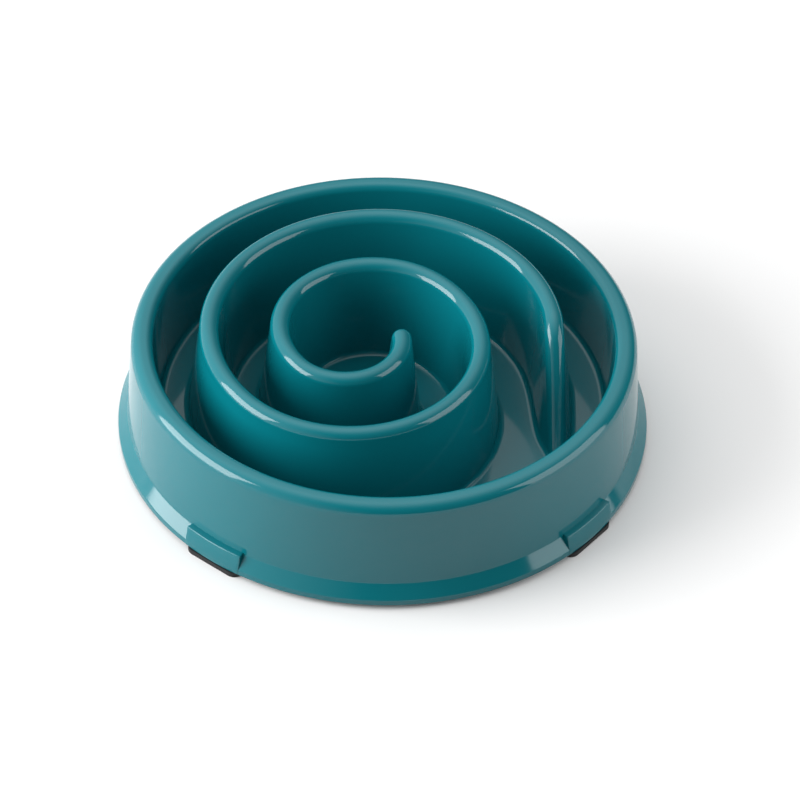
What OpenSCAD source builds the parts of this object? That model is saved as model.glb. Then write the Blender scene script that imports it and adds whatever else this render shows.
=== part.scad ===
// Slow feeder bowl: one hollow moulding with a raised spiral ridge, standing on four rubber feet.
// Origin on the bowl's axis at table level, +Z up, -Y towards the front tabs.

/* [Bowl] */
// Diameter across the outside of the rim
rim_d = 195; // [180:1:220]
// Height of the rim above the table
rim_h = 46; // [42:0.5:52]
// Width across the rim, from the outer to the inner wall
rim_w = 9.5; // [9:0.5:13]
// Thickness of every moulded wall
wall_t = 2.2; // [1.8:0.1:2.6]
// Rounding of the rim's outer edge
rim_outer_round = 2.6; // [1.5:0.1:3.2]
// Rounding of the rim's inner edge
rim_inner_round = 6.2; // [3:0.1:6.8]
// Lean of the outer wall from the vertical, in degrees
outer_lean = 3.2; // [1:0.1:5]
// Lean of the inner wall from the vertical, in degrees
inner_lean = 3.8; // [1:0.1:5]

/* [Skirt] */
// How far the skirt stands out past the rim
skirt_out = 5.5; // [4:0.25:8]
// Height of the crease where the wall turns out into the skirt
skirt_h = 10; // [8.5:0.25:13]
// Height of the skirt's lower edge band
skirt_band_h = 2.2; // [1.5:0.1:3]
// Rounding along the skirt's edge
skirt_round = 0.9; // [0.5:0.1:1.2]
// Gap that the feet leave between the skirt and the table
stand_gap = 2; // [1.5:0.1:3]

/* [Floor] */
// Height of the feeding floor above the table
floor_h = 12; // [11:0.5:18]
// Fillet where the walls and the ridge meet the floor
foot_round = 2.2; // [1:0.1:3]

/* [Ridge] */
// Height of the ridge's crest above the floor
ridge_h = 41.8; // [28:0.1:46]
// Width of the ridge's rounded crest
crest_w = 7.6; // [6:0.2:9]
// Lean of the ridge's flanks from the vertical, in degrees
flank_lean = 5.6; // [3:0.1:6]
// Distance from the inner wall at the rim to the middle of the ridge's outer turn
outer_gap = 21.8; // [20:0.2:25]
// Radius of the ridge's innermost half turn, to its middle
inner_turn_r = 21.2; // [18:0.2:24]
// Direction of the line that holds the spiral's two centres, in degrees from +X
centre_line = 37; // [20:1:60]
// Shift of the outer turn's centre from the bowl's axis along X
shift_x = -1.8; // [-3:0.1:3]
// Shift of the outer turn's centre from the bowl's axis along Y
shift_y = -1.1; // [-3:0.1:3]
// How far the innermost turn curls round its centre, in degrees
inner_curl = 160; // [120:5:170]

/* [Ramp] */
// Where the crest starts to fall, in degrees from +X round the outer turn's centre
ramp_start = 5.3; // [0:0.1:12]
// Radius of the crest's bend into the ramp
ramp_bend_r = 14; // [8:1:18]
// Slope of the ramp below the horizontal, in degrees
ramp_slope = 55; // [45:1:65]

/* [Tabs] */
// Length of each tab along the skirt
tab_l = 26.5; // [20:0.5:28]
// Height of the tabs' flat top
tab_h = 10.6; // [9.5:0.1:12]
// How far a tab's top edge stands in from the skirt's edge
tab_set = 1.3; // [0.8:0.1:2]
// Depth of the solid boss that backs each tab, from the skirt's edge inwards
boss_w = 10; // [9.5:0.5:12]
// Direction of the first tab from +X, in degrees; the others follow a quarter turn apart
tab_dir = 51.5; // [0:0.5:90]

/* [Feet] */
// Length of each rubber foot
foot_l = 26; // [22:0.5:28]
// Width of each rubber foot
foot_w = 8; // [7:0.5:9]
// How far a foot's outer edge stands past the skirt, at the foot's middle
foot_proud = 0.3; // [0:0.1:1]
// Diameter of the two pegs that hold a foot
peg_d = 4; // [3:0.2:4.6]
// Length of the pegs
peg_l = 4.5; // [3:0.5:5]
// Distance between a foot's pegs
peg_pitch = 12; // [10:0.5:14]
// Clearance all round a peg and at its end
peg_gap = 0.1; // [0.05:0.05:0.2]

/* [Hidden] */
$fn = 96;

// Every cut runs this far past what it cuts
overrun = 1;
// Smallest rounding left on a hollow's corner
least_round = 0.2;
// A fillet meets its faces at this small angle, in degrees, so its edge shows as a crisp line
fillet_edge = 12;
// A rounding meets its faces at this smaller one, so that no face only grazes another
soft_edge = 3;
// The ridge's round inner tip and its ramp start this far inside its arcs, and are this much slimmer
end_lap = 0.5;
end_step = 0.05;
// Spheres along the ramp's bend
bend_steps = 5;

tab_count = 4;
rim_r = rim_d / 2;
skirt_r = rim_r + skirt_out;
inner_r = rim_r - rim_w;
crest_r = crest_w / 2;
turn_r = inner_r - outer_gap;
centre_gap = (turn_r - inner_turn_r) / 3;
crest_z = floor_h + ridge_h - crest_r;
floor_under = floor_h - wall_t;
floor_mid = floor_h - wall_t / 2;
foot_mid_r = skirt_r + foot_proud - foot_w / 2;

function dir(a) = [cos(a), sin(a)];

// Where two lines cross, each given by a point and its direction's angle
function meet(p, a, q, b) =
    p + dir(a) * ((q.x - p.x) * sin(b) - (q.y - p.y) * cos(b)) / sin(b - a);

// The point where a line from p touches the circle at c with radius r, on the circle's outer side
function touch(p, c, r) =
    let (v = p - c) c + r * dir(atan2(v.y, v.x) - acos(r / norm(v)));

// Centre of a fillet between the floor and a face that leans back from the foot
function fillet_centre(foot, lean) =
    let (off = foot_round * cos(fillet_edge))
    [foot.x + (off - off * sin(lean)) / cos(lean), foot.y + off];

// Fillet of the floor with a face that rises from foot towards -X at lean; open side towards +X
module foot_fillet(foot, lean) {
    c = fillet_centre(foot, lean);
    back = c - (foot_round + wall_t / 2) * dir(lean);
    difference() {
        polygon([[back.x, floor_mid], [c.x, floor_mid], c, back]);
        translate(c) circle(foot_round);
    }
}

// Half section of the bowl without the ridge, drawn in by inset on every side
module bowl_section(inset) {
    outer_cut = max(rim_outer_round - inset, least_round);
    inner_cut = max(rim_inner_round - inset, least_round);
    outer_c = [rim_r - inset - outer_cut, rim_h - inset - outer_cut];
    inner_c = [inner_r + inset + inner_cut, rim_h - inset - inner_cut];
    outer_top = outer_c + outer_cut * cos(soft_edge) * dir(outer_lean);
    inner_top = inner_c + inner_cut * cos(soft_edge) * dir(180 - inner_lean);
    crease = meet(outer_top, outer_lean - 90, [0, skirt_h], 0);
    edge_c = [skirt_r - skirt_round, stand_gap + skirt_band_h];
    edge_r = skirt_round * cos(soft_edge);
    edge_top = touch(crease, edge_c, edge_r);
    skirt_dir = atan2(edge_top.y - skirt_h, edge_top.x - crease.x - inset);
    band_top = meet(crease, skirt_dir, [skirt_r - inset, 0], 90);
    floor_z = inset > 0 ? floor_under : floor_h;
    base_z = inset > 0 ? stand_gap - overrun : stand_gap;
    inner_foot = meet(inner_top, -90 - inner_lean, [0, floor_z], 0);

    polygon([[0, base_z], [inset > 0 ? skirt_r - inset : edge_c.x + edge_r, base_z],
             inset > 0 ? band_top : [edge_c.x + edge_r, edge_c.y], if (inset == 0) edge_top,
             crease, outer_top, outer_c + [0, outer_cut * cos(soft_edge)],
             inner_c + [0, inner_cut * cos(soft_edge)], inner_top, inner_foot, [0, floor_z]]);
    translate(outer_c) circle(outer_cut);
    translate(inner_c) circle(inner_cut);
    if (inset == 0) {
        translate(edge_c) circle(skirt_round);
        mirror([1, 0]) foot_fillet([-inner_foot.x, floor_h], inner_lean);
    }
}

// Section of the ridge, its middle on x = 0, drawn in by inset
module ridge_section(inset, filleted = true) {
    r = crest_r - inset;
    top = [0, crest_z] + r * cos(soft_edge) * dir(flank_lean);
    foot = meet(top, flank_lean - 90, [0, floor_h], 0);
    low = meet(top, flank_lean - 90, [0, inset > wall_t / 2 ? floor_under - overrun : floor_mid], 0);
    polygon([low, top, [0, crest_z], [-top.x, top.y], [-low.x, low.y]]);
    translate([0, crest_z]) circle(r);
    if (filleted) for (side = [0, 1]) mirror([side, 0]) foot_fillet(foot, flank_lean);
}

module ridge_half(inset, filleted = true) {
    intersection() {
        ridge_section(inset, filleted);
        square([crest_w + ridge_h, crest_z + crest_w]);
    }
}

// One arc of the ridge round a centre on the line of centres
module ridge_arc(centre_x, radius, from, sweep, inset, filleted) {
    translate([centre_x, 0])
        rotate_extrude(angle = sweep, start = from)
            translate([radius, 0]) ridge_section(inset, filleted);
}

// Ramp at the ridge's outer end: the crest bends down over spheres and runs straight to the floor
module ridge_ramp(inset) {
    r = crest_r - inset;
    bend_c = crest_z - ramp_bend_r;
    bend_end = [ramp_bend_r * sin(ramp_slope), bend_c + ramp_bend_r * cos(ramp_slope)];
    run_end = bend_end.x + (bend_end.y - floor_h) / tan(ramp_slope);
    low_z = inset > wall_t / 2 ? floor_under - overrun : floor_mid;
    hull() {
        translate([0, end_lap]) rotate([90, 0]) linear_extrude(end_lap)
            ridge_section(inset + end_step, false);
        for (i = [1 : bend_steps])
            let (a = ramp_slope * i / bend_steps)
            translate([0, -ramp_bend_r * sin(a), bend_c + ramp_bend_r * cos(a)]) sphere(r, $fn = 32);
        translate([0, -run_end, low_z]) cylinder(h = floor_h - low_z, r = r, $fn = 32);
    }
}

// The whole spiral: half turns round two centres in turn, each narrower than the last by the centres' gap
module ridge(inset, filleted = true) {
    first = ramp_start - centre_line;
    translate([shift_x, shift_y]) rotate(centre_line) {
        translate(turn_r * dir(first)) rotate(first) ridge_ramp(inset);
        ridge_arc(0, turn_r, first, 180 - first, inset, filleted);
        ridge_arc(-centre_gap, turn_r - centre_gap, 180, 180, inset, filleted);
        ridge_arc(0, turn_r - 2 * centre_gap, 0, 180, inset, filleted);
        ridge_arc(-centre_gap, inner_turn_r, 180, inner_curl, inset, filleted);
        translate([-centre_gap, 0]) rotate(180 + inner_curl) translate([inner_turn_r, -end_lap])
            rotate_extrude() ridge_half(inset + end_step, filleted);
    }
}

module boss() {
    sweep = tab_l / skirt_r * 180 / PI;
    rotate_extrude(angle = sweep, start = -sweep / 2)
        polygon([[skirt_r - boss_w, stand_gap], [skirt_r, stand_gap], [skirt_r, stand_gap + skirt_band_h],
                 [skirt_r - tab_set, tab_h], [skirt_r - boss_w, tab_h]]);
}

module at_tab(i) {
    rotate(tab_dir + i * 360 / tab_count) children();
}

module at_pegs() {
    for (side = [-1, 1]) translate([foot_mid_r, side * peg_pitch / 2]) children();
}

module bowl() {
    color([0.16, 0.47, 0.5]) difference() {
        union() {
            difference() {
                rotate_extrude() bowl_section(0);
                rotate_extrude() bowl_section(wall_t);
            }
            ridge(0);
            for (i = [0 : tab_count - 1]) at_tab(i) boss();
        }
        ridge(wall_t, false);
        for (i = [0 : tab_count - 1]) at_tab(i) at_pegs()
            translate([0, 0, stand_gap - overrun])
                cylinder(h = peg_l + peg_gap + overrun, d = peg_d + 2 * peg_gap);
    }
}

// A rubber strip with round ends, under the skirt, with two pegs that press up into the boss
module foot(i) {
    color([0.05, 0.05, 0.06]) at_tab(i) {
        linear_extrude(stand_gap) {
            translate([foot_mid_r - foot_w / 2, (foot_w - foot_l) / 2]) square([foot_w, foot_l - foot_w]);
            for (side = [-1, 1]) translate([foot_mid_r, side * (foot_l - foot_w) / 2]) circle(d = foot_w);
        }
        at_pegs() cylinder(h = stand_gap + peg_l, d = peg_d);
    }
}

module foot_rear_right() { foot(0); }
module foot_rear_left() { foot(1); }
module foot_front_left() { foot(2); }
module foot_front_right() { foot(3); }

bowl();
foot_rear_right();
foot_rear_left();
foot_front_left();
foot_front_right();
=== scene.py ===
import math

import bmesh
import bpy
import numpy as np
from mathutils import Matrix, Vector
from mathutils.geometry import delaunay_2d_cdt


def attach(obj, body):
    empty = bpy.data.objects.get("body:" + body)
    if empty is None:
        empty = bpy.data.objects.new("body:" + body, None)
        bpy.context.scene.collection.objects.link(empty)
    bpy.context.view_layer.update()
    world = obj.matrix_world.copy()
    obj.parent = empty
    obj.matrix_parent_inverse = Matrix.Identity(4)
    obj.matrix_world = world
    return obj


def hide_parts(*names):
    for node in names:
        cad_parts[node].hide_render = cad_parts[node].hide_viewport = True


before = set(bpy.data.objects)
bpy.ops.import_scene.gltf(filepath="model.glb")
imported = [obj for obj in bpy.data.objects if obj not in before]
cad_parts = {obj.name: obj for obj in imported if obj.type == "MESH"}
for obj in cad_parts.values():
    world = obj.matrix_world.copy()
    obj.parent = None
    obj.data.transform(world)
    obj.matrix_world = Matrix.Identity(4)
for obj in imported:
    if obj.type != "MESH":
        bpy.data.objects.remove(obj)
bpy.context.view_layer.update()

# The wall
# The bowl is one injection moulding of polished teal plastic, hollow and open from below. Its wall is
# a double one: up outside from a flared skirt, over a rolled rim and down inside to the feeding floor.
# It is drawn here in section, radius and height in millimetres, and turned about the bowl's axis.
WALL = 2.2
RIM_R, RIM_TOP, RIM_INNER_R = 97.5, 46.5, 88.9
RIM_OUTER_ROUND, RIM_INNER_ROUND = 4.4, 3.0
OUTER_LEAN, INNER_LEAN = math.radians(3.2), math.radians(5)
CREASE_Z = 10.0
SKIRT_R, SKIRT_EDGE_Z, SKIRT_ROUND, BASE_Z = 103.0, 4.2, 0.9, 2.0
FLOOR_Z = 12.0
FLOOR_UNDER_Z = FLOOR_Z - WALL
FOOT_ROUND, LIP_ROUND, LEAST_CORE_ROUND = 2.2, 0.3, 0.4


def arc(centre, radius, start, end, steps):
    """Points of an arc in the section, angles in radians from the outward direction."""
    a = np.linspace(start, end, steps + 1)
    return [(centre[0] + radius * math.cos(t), centre[1] + radius * math.sin(t)) for t in a]


def leaning(point, lean, z):
    """The point at height z on a wall that leans by lean through a point."""
    return (point[0] + (point[1] - z) * math.tan(lean), z)


BRACE, LONG_STRAIGHT = 0.25, 1.25


def braced(points):
    """Adds a point just inside both ends of each long straight, which keeps its shading flat."""
    out = [points[0]]
    for a, b in zip(points, points[1:]):
        length = math.dist(a, b)
        if length > LONG_STRAIGHT:
            for t in (BRACE / length, 1 - BRACE / length):
                out.append((a[0] + (b[0] - a[0]) * t, a[1] + (b[1] - a[1]) * t))
        out.append(b)
    return out


def wall_skin(inset):
    """Outer wall, rim and inner wall of the moulding's skin, drawn in by inset."""
    outer_round = max(RIM_OUTER_ROUND - inset, LEAST_CORE_ROUND)
    inner_round = max(RIM_INNER_ROUND - inset, LEAST_CORE_ROUND)
    outer_c = (RIM_R - inset - outer_round, RIM_TOP - inset - outer_round)
    inner_c = (RIM_INNER_R + inset + inner_round, RIM_TOP - inset - inner_round)
    outer = arc(outer_c, outer_round, OUTER_LEAN, math.pi / 2, steps=12)
    inner = arc(inner_c, inner_round, math.pi / 2, math.pi - INNER_LEAN, steps=16)
    return outer, inner


outer, inner = wall_skin(0)
crease = leaning(outer[0], OUTER_LEAN, CREASE_Z)
edge_c = (SKIRT_R - SKIRT_ROUND, SKIRT_EDGE_Z)
reach = math.dist(crease, edge_c)
skirt_dir = math.atan2(crease[1] - edge_c[1], crease[0] - edge_c[0]) - math.acos(SKIRT_ROUND / reach)
skirt_edge = arc(edge_c, SKIRT_ROUND, 0, skirt_dir, steps=6)
inner_foot = leaning(inner[-1], -INNER_LEAN, FLOOR_Z)
turn = math.pi / 2 - INNER_LEAN
fillet_c = (inner_foot[0] - FOOT_ROUND * math.tan(turn / 2), FLOOR_Z + FOOT_ROUND)
fillet = arc(fillet_c, FOOT_ROUND, -INNER_LEAN, -math.pi / 2, steps=8)
lip = arc((SKIRT_R - LIP_ROUND, BASE_Z + LIP_ROUND), LIP_ROUND, -math.pi / 2, 0, steps=3)

outer_in, inner_in = wall_skin(WALL)
crease_in = leaning(outer_in[0], OUTER_LEAN, CREASE_Z)
skirt_drop = (SKIRT_R - WALL - crease_in[0]) / math.tan(math.pi / 2 - skirt_dir)
skirt_in = (SKIRT_R - WALL, crease_in[1] - skirt_drop)
inner_in_foot = leaning(inner_in[-1], -INNER_LEAN, FLOOR_UNDER_Z)

section = fillet[::-1] + inner[::-1] + outer[::-1] + [crease] + skirt_edge[::-1] + lip[::-1]
section += [(SKIRT_R - WALL, BASE_Z), skirt_in, crease_in] + outer_in + inner_in + [inner_in_foot]
section = np.array(braced(section))

bowl_points, bowl_faces, flat_faces = [], [], set()


def add_skin(rings):
    """Lays the moulding's skin over rings of points, each ring of the same count."""
    count, base = len(rings[0]), len(bowl_points)
    for ring in rings:
        bowl_points.extend(map(tuple, ring))
    for j in range(len(rings) - 1):
        for i in range(count):
            k = (i + 1) % count
            bowl_faces.append((base + j * count + i, base + j * count + k,
                               base + (j + 1) * count + k, base + (j + 1) * count + i))


ROUND_STEPS = 360
around = np.radians(np.arange(ROUND_STEPS) * 360 / ROUND_STEPS)
add_skin([np.c_[r * np.cos(around), r * np.sin(around), np.full(ROUND_STEPS, z)] for r, z in section])

# The ridge
# The same moulding rises from the floor in one spiral ridge that slows the animal down. Its middle
# line is four arcs that run on from each other. The ridge has drafted flanks, a round crest and a
# fillet at its foot, ends in a round tip inside, and outside bends down as a ramp. It is hollow.
CREST_R, CREST_TOP = 3.8, 53.8
CREST_Z = CREST_TOP - CREST_R
FLANK_LEAN = math.radians(6.6)
ARC_RADII = (66.3, 50.5, 36.25, 22.0)
CENTRE_LINE, SECOND_ARC_MORE = math.radians(38), math.radians(10)
FIRST_CENTRE = (-1.0, -1.3)
RAMP_START, RAMP_TURN, INNER_CURL = math.radians(9), math.radians(5), math.radians(150)
RAMP_BEND, RAMP_SLOPE = 14.0, math.radians(52)
STEP_DEGREES = 2

joints = [CENTRE_LINE + k * math.pi for k in (1, 2, 3)]
joints[1] += SECOND_ARC_MORE
joints = [RAMP_START] + joints + [joints[2] + INNER_CURL]
arcs, centre = [], np.array(FIRST_CENTRE)
for k, radius in enumerate(ARC_RADII):
    steps = round(math.degrees(joints[k + 1] - joints[k]) / STEP_DEGREES)
    a = np.linspace(joints[k], joints[k + 1], steps + 1)
    outwards = np.c_[np.cos(a), np.sin(a)]
    arcs.append(np.c_[centre + radius * outwards, outwards][0 if k == 0 else 1:])
    if k + 1 < len(ARC_RADII):
        centre = centre + (radius - ARC_RADII[k + 1]) * outwards[-1]
line = np.vstack(arcs)
middle, normal = line[:, :2], line[:, 2:]
tip_dir = np.array([-normal[-1, 1], normal[-1, 0]])

# The crest's line down the ramp, as distance along the ground and height. It starts a little before the
# ramp and runs on below the floor, so that its round section is whole at both ends.
RUN_ON, FLAT_STEPS, BEND_POINTS, FALL_POINTS = 8.0, 79, 60, 400
bend = np.linspace(0, RAMP_SLOPE, BEND_POINTS)
bend_s = RAMP_BEND * np.sin(bend)
bend_z = CREST_Z - RAMP_BEND * (1 - np.cos(bend))
fall_end = (bend_z[-1] - FLOOR_UNDER_Z + RUN_ON) / math.tan(RAMP_SLOPE)
fall = np.linspace(0, fall_end, FALL_POINTS)[1:]
crest_s = np.r_[np.linspace(-RUN_ON, 0, FLAT_STEPS + 1)[:-1], bend_s, bend_s[-1] + fall]
crest_h = np.r_[np.full(FLAT_STEPS, CREST_Z), bend_z, bend_z[-1] - fall * math.tan(RAMP_SLOPE)]

# the flanks spread less and less down the ramp, and close quickly at its toe
RAMP_NARROWING, TOE_CLOSING, LEAST_RISE = 0.45, 8, 0.5
FLANK_SPREAD = (CREST_Z - FLOOR_Z) * math.tan(FLANK_LEAN)
RAMP_TOE = np.interp(-FLOOR_Z, -crest_h, crest_s)


def ramp_line(s):
    """The ramp's middle at distance s, on round the arc and then straight, and which way is outwards."""
    a = RAMP_START - np.minimum(s / ARC_RADII[0], RAMP_TURN)
    outwards = np.c_[np.cos(a), np.sin(a)]
    onwards = np.c_[outwards[:, 1], -outwards[:, 0]]
    straight = np.maximum(s - ARC_RADII[0] * RAMP_TURN, 0)[:, None]
    return FIRST_CENTRE + ARC_RADII[0] * outwards + straight * onwards, outwards


def ramp_half_width(s, z, r):
    """Half the ridge's width at distance s down the ramp and height z, for a crest of radius r."""
    s = np.atleast_1d(s)
    gap = r * r - (s[:, None] - crest_s) ** 2 - (z - crest_h) ** 2
    width = np.sqrt(np.maximum(gap.max(1), 0))
    crest = np.interp(s, crest_s, crest_h)
    run = np.minimum(s / RAMP_TOE, 1)
    spread_here = FLANK_SPREAD * (1 - RAMP_NARROWING * run) * (1 - run ** TOE_CLOSING)
    lean = spread_here / np.maximum(crest - FLOOR_Z, LEAST_RISE)
    return np.where(z <= crest, np.maximum(width, r + (crest - z) * lean), width)


def bridged(s, half):
    """The half width with every hollow along the ramp's edge bridged by a straight."""
    keep = [0]
    for i in range(1, len(s)):
        while len(keep) > 1:
            a, b = keep[-2:]
            if (half[b] - half[a]) * (s[i] - s[a]) >= (half[i] - half[a]) * (s[b] - s[a]):
                break
            keep.pop()
        keep.append(i)
    return np.interp(s, s[keep], half[keep])


RAMP_REACH, PROBES, TOE_SHARE = 48.0, 2401, 0.6
RAMP_STEPS, TOE_STEPS, TIP_STEPS = 16, 14, 24


def ridge_ring(z, r, width):
    """The ridge's outline at height z, as a ring from the ramp's toe along one flank and back."""
    probe = np.linspace(0, RAMP_REACH, PROBES)
    inside = ramp_half_width(probe, z, r) > 0
    toe = probe[inside][-1] if inside.any() and width > 0 else 0.0
    turn_in = max(toe - r / math.sin(RAMP_SLOPE), TOE_SHARE * toe)
    round_toe = np.sin(np.linspace(0, math.pi / 2, TOE_STEPS + 1)[1:])
    s = np.r_[np.linspace(0, turn_in, RAMP_STEPS + 1)[1:], turn_in + (toe - turn_in) * round_toe]
    half = ramp_half_width(s, z, r)
    half[-1] = 0
    half = bridged(s, half) if width > 0 else np.zeros(len(s))
    ground, outwards = ramp_line(s)
    ramp_out = ground + half[:, None] * outwards
    ramp_in = ground - half[:, None] * outwards
    a = np.linspace(0, math.pi, TIP_STEPS + 1)[1:-1]
    tip = middle[-1] + width * (np.cos(a)[:, None] * normal[-1] + np.sin(a)[:, None] * tip_dir)
    flank_out, flank_in = middle + width * normal, middle - width * normal
    ring = np.vstack([ramp_out[::-1], flank_out, tip, flank_in[::-1], ramp_in[:-1]])
    return np.c_[ring, np.full(len(ring), z)]


def crest_half_width(z, r):
    """Half the ridge's width at height z away from the ramp."""
    if z > CREST_Z:
        return math.sqrt(max(r * r - (z - CREST_Z) ** 2, 0))
    return r + (CREST_Z - z) * math.tan(FLANK_LEAN)


def spread(ring, distance):
    """Moves each point of a ring outwards, square to the ring."""
    along = np.roll(ring, -1, 0) - np.roll(ring, 1, 0)
    out = np.c_[along[:, 1], -along[:, 0]]
    out /= np.linalg.norm(out, axis=1)[:, None]
    moved = ring.copy()
    moved[:, :2] += out * np.reshape(distance, (-1, 1))
    return moved, out


# how steep the flank is at each point of the foot, and from that the fillet with the floor
NEAR_FLOOR_Z, LEAST_RUN = FLOOR_Z + 1, 0.02
FILLET_STEPS, FLANK_STEPS, CREST_STEPS = 7, 33, 14
foot = ridge_ring(FLOOR_Z, CREST_R, crest_half_width(FLOOR_Z, CREST_R))
above = ridge_ring(NEAR_FLOOR_Z, CREST_R, crest_half_width(NEAR_FLOOR_Z, CREST_R))
outward = spread(foot, 0)[1]
sign = 1 if ((foot - above)[:, :2] * outward).sum() > 0 else -1
run = np.maximum(((foot - above)[:, :2] * outward * sign).sum(1), LEAST_RUN)
steep = np.arctan2(NEAR_FLOOR_Z - FLOOR_Z, run)
rings = []
for a in np.linspace(0, math.pi / 2 - FLANK_LEAN, FILLET_STEPS + 1):
    rise = FOOT_ROUND * (1 - math.cos(a))
    tangent = FOOT_ROUND * np.tan(steep / 2)
    reach_out = tangent - math.sqrt(FOOT_ROUND ** 2 - (FOOT_ROUND - rise) ** 2) + rise / np.tan(steep)
    reach_out = np.where(rise < FOOT_ROUND * (1 - np.cos(steep)), reach_out, 0)
    ring = ridge_ring(FLOOR_Z + rise, CREST_R, crest_half_width(FLOOR_Z + rise, CREST_R))
    rings.append(spread(ring, sign * reach_out)[0])
ridge_foot = rings[0]
flank_z = np.linspace(rings[-1][0, 2], CREST_Z, FLANK_STEPS + 1)[1:]
for z in np.r_[rings[-1][0, 2] + BRACE, flank_z[:-1], CREST_Z - BRACE, CREST_Z]:
    rings.append(ridge_ring(z, CREST_R, crest_half_width(z, CREST_R)))
for a in np.linspace(0, math.pi / 2, CREST_STEPS + 1)[1:]:
    z = CREST_Z + CREST_R * math.sin(a)
    rings.append(ridge_ring(z, CREST_R, CREST_R * math.cos(a) if a < math.pi / 2 else 0))
add_skin(rings)

# the hollow inside, open from below
CORE_EVEN_Z, CORE_STEPS, CORE_TOP_STEPS = 16.0, 11, 5
core_r, core = CREST_R - WALL, []
for z in np.r_[FLOOR_UNDER_Z, FLOOR_UNDER_Z + BRACE, np.linspace(CORE_EVEN_Z, CREST_Z, CORE_STEPS + 1)]:
    core.append(ridge_ring(z, core_r, crest_half_width(z, core_r)))
for a in np.linspace(0, math.pi / 2, CORE_TOP_STEPS + 1)[1:]:
    z = CREST_Z + core_r * math.sin(a)
    core.append(ridge_ring(z, core_r, core_r * math.cos(a) if a < math.pi / 2 else 0))
core_mouth = core[0]
add_skin([ring[::-1] for ring in core])

# The feeding floor
# A flat web of the same moulding closes the bowl between the wall and the ridge. Its top is the floor
# that the food lies on, and its underside shows from below, where the hollow ridge opens through it.
TRIANGLES_INSIDE, SAME_POINT, LEAST_STEP = 1, 1e-7, 1e-9


def add_floor(outline_r, hole, z, up):
    """A flat floor at height z inside a circle, with the ridge's outline left open."""
    rim = np.c_[outline_r * np.cos(around), outline_r * np.sin(around)]
    ring = hole[:, :2]
    points = [Vector(p) for p in np.vstack([rim, ring]).tolist()]
    n = len(rim)
    edges = [(i, (i + 1) % n) for i in range(n)]
    edges += [(n + i, n + (i + 1) % len(ring)) for i in range(len(ring))]
    verts, _, faces, *_ = delaunay_2d_cdt(points, edges, [], TRIANGLES_INSIDE, SAME_POINT)
    verts = np.array([v[:] for v in verts])
    base = len(bowl_points)
    bowl_points.extend((x, y, z) for x, y in verts)
    x0, y0 = ring[:, 0], ring[:, 1]
    x1, y1 = np.roll(x0, -1), np.roll(y0, -1)
    for f in faces:
        cx, cy = verts[list(f)].mean(0)
        rise = np.where(y1 == y0, LEAST_STEP, y1 - y0)
        crossed = ((y0 > cy) != (y1 > cy)) & (cx < (x1 - x0) * (cy - y0) / rise + x0)
        if crossed.sum() % 2:
            continue
        flat_faces.add(len(bowl_faces))
        bowl_faces.append(tuple(base + i for i in (f if up else f[::-1])))


add_floor(section[0][0], ridge_foot, FLOOR_Z, True)
add_floor(section[-1][0], core_mouth, FLOOR_UNDER_Z, False)

# The tabs
# Four blocks are moulded into the skirt, a quarter turn apart. Each is solid, stands a little proud of
# the skirt with a flat top, and takes the rubber foot under it.
TAB_LENGTH, TAB_TOP, TAB_SET, TAB_DEPTH = 26.5, 10.6, 1.3, 10.0
TAB_PROUD, TAB_LIFT, TAB_EDGE, TAB_STEPS = 0.12, 0.05, 0.35, 16
FIRST_TAB_DEGREES, SHARP = 51.5, math.radians(25)
TAB_DIRS = [math.radians(FIRST_TAB_DEGREES + 90 * k) for k in range(4)]


def tab_block(direction):
    """One tab as its own closed block with softened edges."""
    r, under = SKIRT_R + TAB_PROUD, BASE_Z + TAB_LIFT
    shape = [(r - TAB_DEPTH, under), (r, under), (r, SKIRT_EDGE_Z),
             (r - TAB_SET, TAB_TOP), (r - TAB_DEPTH, TAB_TOP)]
    half = TAB_LENGTH / SKIRT_R / 2
    turn = np.linspace(direction - half, direction + half, TAB_STEPS + 1)
    bm = bmesh.new()
    rings = [[bm.verts.new((rr * math.cos(a), rr * math.sin(a), z)) for rr, z in shape] for a in turn]
    for ring, following in zip(rings, rings[1:]):
        for i in range(len(shape)):
            k = (i + 1) % len(shape)
            bm.faces.new((ring[i], ring[k], following[k], following[i]))
    bm.faces.new(rings[0][::-1])
    bm.faces.new(rings[-1])
    bmesh.ops.recalc_face_normals(bm, faces=bm.faces)
    sharp = [e for e in bm.edges if e.calc_face_angle(0) > SHARP]
    bmesh.ops.bevel(bm, geom=sharp, offset=TAB_EDGE, segments=3, profile=0.5, affect="EDGES",
                    clamp_overlap=True)
    points = [v.co[:] for v in bm.verts]
    faces = [[v.index for v in f.verts] for f in bm.faces]
    bm.free()
    return points, faces


for direction in TAB_DIRS:
    points, faces = tab_block(direction)
    base = len(bowl_points)
    bowl_points.extend(points)
    bowl_faces.extend(tuple(base + i for i in f) for f in faces)

# The moulding, in teal plastic
# Wall, ridge, floor and tabs are one piece of opaque teal plastic from a polished mould. The colour
# runs through it, with a faint unevenness of shade and gloss and the slight swim of a moulded skin.
# The piece takes the place of the CAD model's bowl.
MM, WELD, SLIVER = 0.001, 2e-6, 1e-6
mesh = bpy.data.meshes.new("bowl_moulding")
mesh.from_pydata([(x * MM, y * MM, z * MM) for x, y, z in bowl_points], [], bowl_faces)
mesh.polygons.foreach_set("use_smooth", [i not in flat_faces for i in range(len(bowl_faces))])
bm = bmesh.new()
bm.from_mesh(mesh)
bmesh.ops.remove_doubles(bm, verts=bm.verts, dist=WELD)
bmesh.ops.dissolve_degenerate(bm, edges=bm.edges, dist=SLIVER)
bmesh.ops.recalc_face_normals(bm, faces=bm.faces)
bm.to_mesh(mesh)
bm.free()
bowl = bpy.data.objects.new("bowl_moulding", mesh)
bpy.context.scene.collection.objects.link(bowl)

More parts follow.
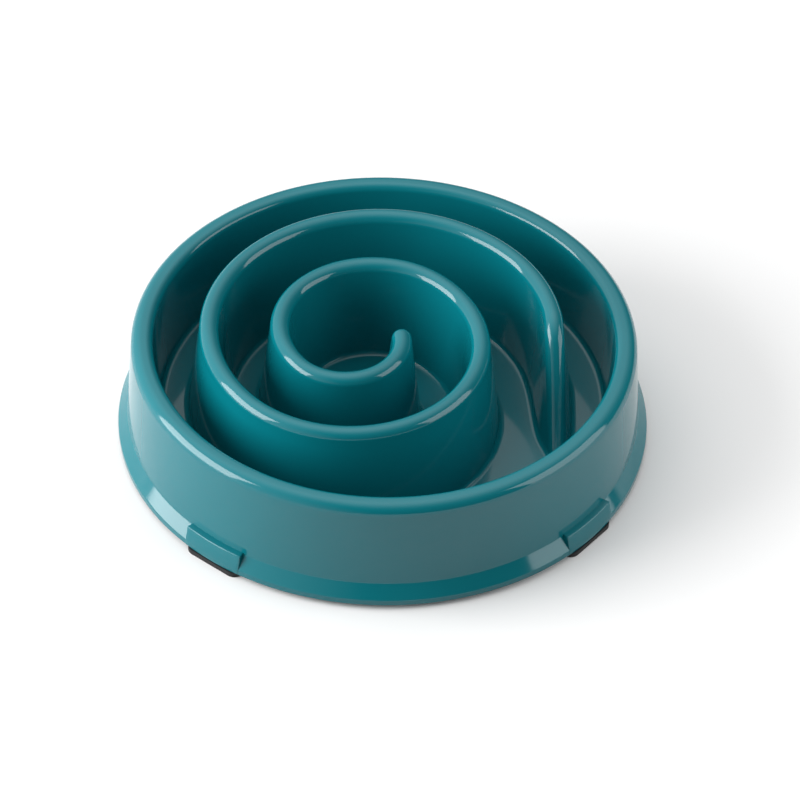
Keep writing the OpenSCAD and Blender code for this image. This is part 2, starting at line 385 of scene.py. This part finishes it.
SHADE_SCALE, GLOSS_SCALE, MIDDLE_RANGE = 18, 45, (0.3, 0.7)


def unevenness(nodes, links, coords, scale, detail):
    """A cloudy pattern through the piece, in its own coordinates."""
    tex = nodes.new("ShaderNodeTexNoise")
    tex.inputs["Scale"].default_value = scale
    tex.inputs["Detail"].default_value = detail
    links.new(coords.outputs["Object"], tex.inputs["Vector"])
    return tex


def spanned(nodes, links, pattern, low, high):
    """Maps a pattern's middle range to the span from low to high."""
    span = nodes.new("ShaderNodeMapRange")
    span.inputs["From Min"].default_value, span.inputs["From Max"].default_value = MIDDLE_RANGE
    span.inputs["To Min"].default_value, span.inputs["To Max"].default_value = low, high
    links.new(pattern.outputs["Fac"], span.inputs["Value"])
    return span


def moulded(name, dark, light, rough, bump_scale, bump_height, bump_strength):
    """A moulded material: two close shades, uneven gloss and a fine relief."""
    mat = bpy.data.materials.new(name)
    mat.use_nodes = True
    nodes, links = mat.node_tree.nodes, mat.node_tree.links
    shader = nodes["Principled BSDF"]
    coords = nodes.new("ShaderNodeTexCoord")
    shade = nodes.new("ShaderNodeMix")
    shade.data_type = "RGBA"
    shade.inputs["A"].default_value, shade.inputs["B"].default_value = (*dark, 1), (*light, 1)
    blend = spanned(nodes, links, unevenness(nodes, links, coords, SHADE_SCALE, detail=2), 0, 1)
    links.new(blend.outputs["Result"], shade.inputs["Factor"])
    links.new(shade.outputs["Result"], shader.inputs["Base Color"])
    gloss = spanned(nodes, links, unevenness(nodes, links, coords, GLOSS_SCALE, detail=4), *rough)
    links.new(gloss.outputs["Result"], shader.inputs["Roughness"])
    relief = nodes.new("ShaderNodeBump")
    relief.inputs["Strength"].default_value = bump_strength
    relief.inputs["Distance"].default_value = bump_height
    swim = unevenness(nodes, links, coords, bump_scale, detail=3)
    links.new(swim.outputs["Fac"], relief.inputs["Height"])
    links.new(relief.outputs["Normal"], shader.inputs["Normal"])
    return mat, shader


teal, shader = moulded("teal_plastic", dark=(0.0015, 0.152, 0.184), light=(0.0025, 0.164, 0.198),
                       rough=(0.07, 0.1), bump_scale=220, bump_height=0.00002, bump_strength=0.05)
shader.inputs["IOR"].default_value = 1.49
mesh.materials.append(teal)
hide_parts("bowl")
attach(bowl, "root")

# The feet
# Four strips of black rubber with round ends sit under the tabs, each held by two pegs pressed up into
# the moulding. They keep the bowl off the table and stop it from sliding.
rubber, shader = moulded("black_rubber", dark=(0.012, 0.012, 0.013), light=(0.02, 0.02, 0.021),
                         rough=(0.55, 0.7), bump_scale=900, bump_height=0.00005, bump_strength=0.3)
shader.inputs["Specular IOR Level"].default_value = 0.35
for name in ("foot_rear_right", "foot_rear_left", "foot_front_left", "foot_front_right"):
    foot_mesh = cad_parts[name].data
    foot_mesh.materials.clear()
    foot_mesh.materials.append(rubber)

# The table
# The bowl stands on a plain white studio table that runs out of view on every side. The camera and the
# plastic's reflections see it white, and the light that it throws up at the bowl is that of a grey one.
TABLE_SIZE, TABLE_ROUGHNESS = 14, 0.9
TABLE_BOUNCED, TABLE_SEEN = (0.28, 0.28, 0.28, 1), (0.9, 0.9, 0.9, 1)
bpy.ops.mesh.primitive_plane_add(size=TABLE_SIZE, location=(0, 0, 0))
table = bpy.context.object
table.name = "table"
paper = bpy.data.materials.new("white_table")
paper.use_nodes = True
nodes, links = paper.node_tree.nodes, paper.node_tree.links
surface = nodes["Principled BSDF"]
surface.inputs["Roughness"].default_value = TABLE_ROUGHNESS
path = nodes.new("ShaderNodeLightPath")
seen, seen_through = nodes.new("ShaderNodeMath"), nodes.new("ShaderNodeMath")
seen.operation = seen_through.operation = "MAXIMUM"
links.new(path.outputs["Is Camera Ray"], seen.inputs[0])
links.new(path.outputs["Is Glossy Ray"], seen.inputs[1])
links.new(seen.outputs["Value"], seen_through.inputs[0])
links.new(path.outputs["Is Transmission Ray"], seen_through.inputs[1])
whiteness = nodes.new("ShaderNodeMix")
whiteness.data_type = "RGBA"
whiteness.inputs["A"].default_value, whiteness.inputs["B"].default_value = TABLE_BOUNCED, TABLE_SEEN
links.new(seen_through.outputs["Value"], whiteness.inputs["Factor"])
links.new(whiteness.outputs["Result"], surface.inputs["Base Color"])
table.data.materials.append(paper)

# The lamps
# A strong softbox stands at the left and a weaker one at the right, both a little in front. They give
# the crisp streaks on every crest. A tent fills the rest, brightest overhead and behind, then at the left.
SOFTBOX_AWAY, SOFTBOX_TURN, SOFTBOX_RISE = 1.2, math.radians(10.5), math.radians(22)
SOFTBOX_WIDTH, SOFTBOX_HEIGHT = 0.9, 0.87
LEFT_RADIANCE, RIGHT_RADIANCE = 7.5, 2.9
for name, side, radiance in (("softbox_left", -1, LEFT_RADIANCE), ("softbox_right", 1, RIGHT_RADIANCE)):
    data = bpy.data.lights.new(name, "AREA")
    data.shape, data.size, data.size_y = "RECTANGLE", SOFTBOX_WIDTH, SOFTBOX_HEIGHT
    data.energy = radiance * math.pi * SOFTBOX_WIDTH * SOFTBOX_HEIGHT
    lamp = bpy.data.objects.new(name, data)
    lamp.location = (side * SOFTBOX_AWAY * math.cos(SOFTBOX_TURN) * math.cos(SOFTBOX_RISE),
                     -SOFTBOX_AWAY * math.sin(SOFTBOX_TURN) * math.cos(SOFTBOX_RISE),
                     SOFTBOX_AWAY * math.sin(SOFTBOX_RISE))
    lamp.rotation_euler = (-lamp.location).to_track_quat("-Z", "Y").to_euler()
    bpy.context.scene.collection.objects.link(lamp)

TENT_TOP, TOP_STRENGTH, TOP_FALL = (-0.1, 0.36, 0.927), 1.62, 4.0
TENT_SIDE, SIDE_MORE, TENT_LEAST = (-1.25, 0.0, -0.4), 0.1, 0.07
world = bpy.data.worlds.new("tent")
bpy.context.scene.world = world
world.use_nodes = True
nodes, links = world.node_tree.nodes, world.node_tree.links
tent = nodes["Background"]
tent.inputs["Color"].default_value = (1, 1, 1, 1)
toward = nodes.new("ShaderNodeTexCoord")


def tent_math(operation, a, b):
    """A math node of the tent's light, each input a socket or a number."""
    node = nodes.new("ShaderNodeMath")
    node.operation = operation
    for value, socket in zip((a, b), node.inputs):
        if isinstance(value, (int, float)):
            socket.default_value = value
        else:
            links.new(value, socket)
    return node.outputs["Value"]


def tent_lean(direction):
    """How far the view into the tent goes along a direction."""
    node = nodes.new("ShaderNodeVectorMath")
    node.operation = "DOT_PRODUCT"
    node.inputs[1].default_value = direction
    links.new(toward.outputs["Generated"], node.inputs[0])
    return node.outputs["Value"]


top = tent_math("POWER", tent_math("MAXIMUM", tent_lean(TENT_TOP), 0.0), TOP_FALL)
side = tent_math("MAXIMUM", tent_math("ADD", tent_lean(TENT_SIDE), SIDE_MORE), TENT_LEAST)
links.new(tent_math("ADD", tent_math("MULTIPLY", top, TOP_STRENGTH), side), tent.inputs["Strength"])
bpy.context.scene.view_settings.view_transform = "Standard"

# The camera
# A long lens looks down on the bowl from the front at 42 degrees, as in the photograph, with a slight
# turn and roll.
FOCAL_MM, SENSOR_MM = 220.4403, 36
CAMERA_PLACE, CAMERA_DEGREES = (0, -1.40959, 1.293992), (47.724055, -0.985291, 0.6279)
lens = bpy.data.cameras.new("camera")
lens.lens, lens.sensor_width = FOCAL_MM, SENSOR_MM
camera = bpy.data.objects.new("camera", lens)
camera.location = CAMERA_PLACE
camera.rotation_euler = [math.radians(a) for a in CAMERA_DEGREES]
bpy.context.scene.collection.objects.link(camera)
bpy.context.scene.camera = camera
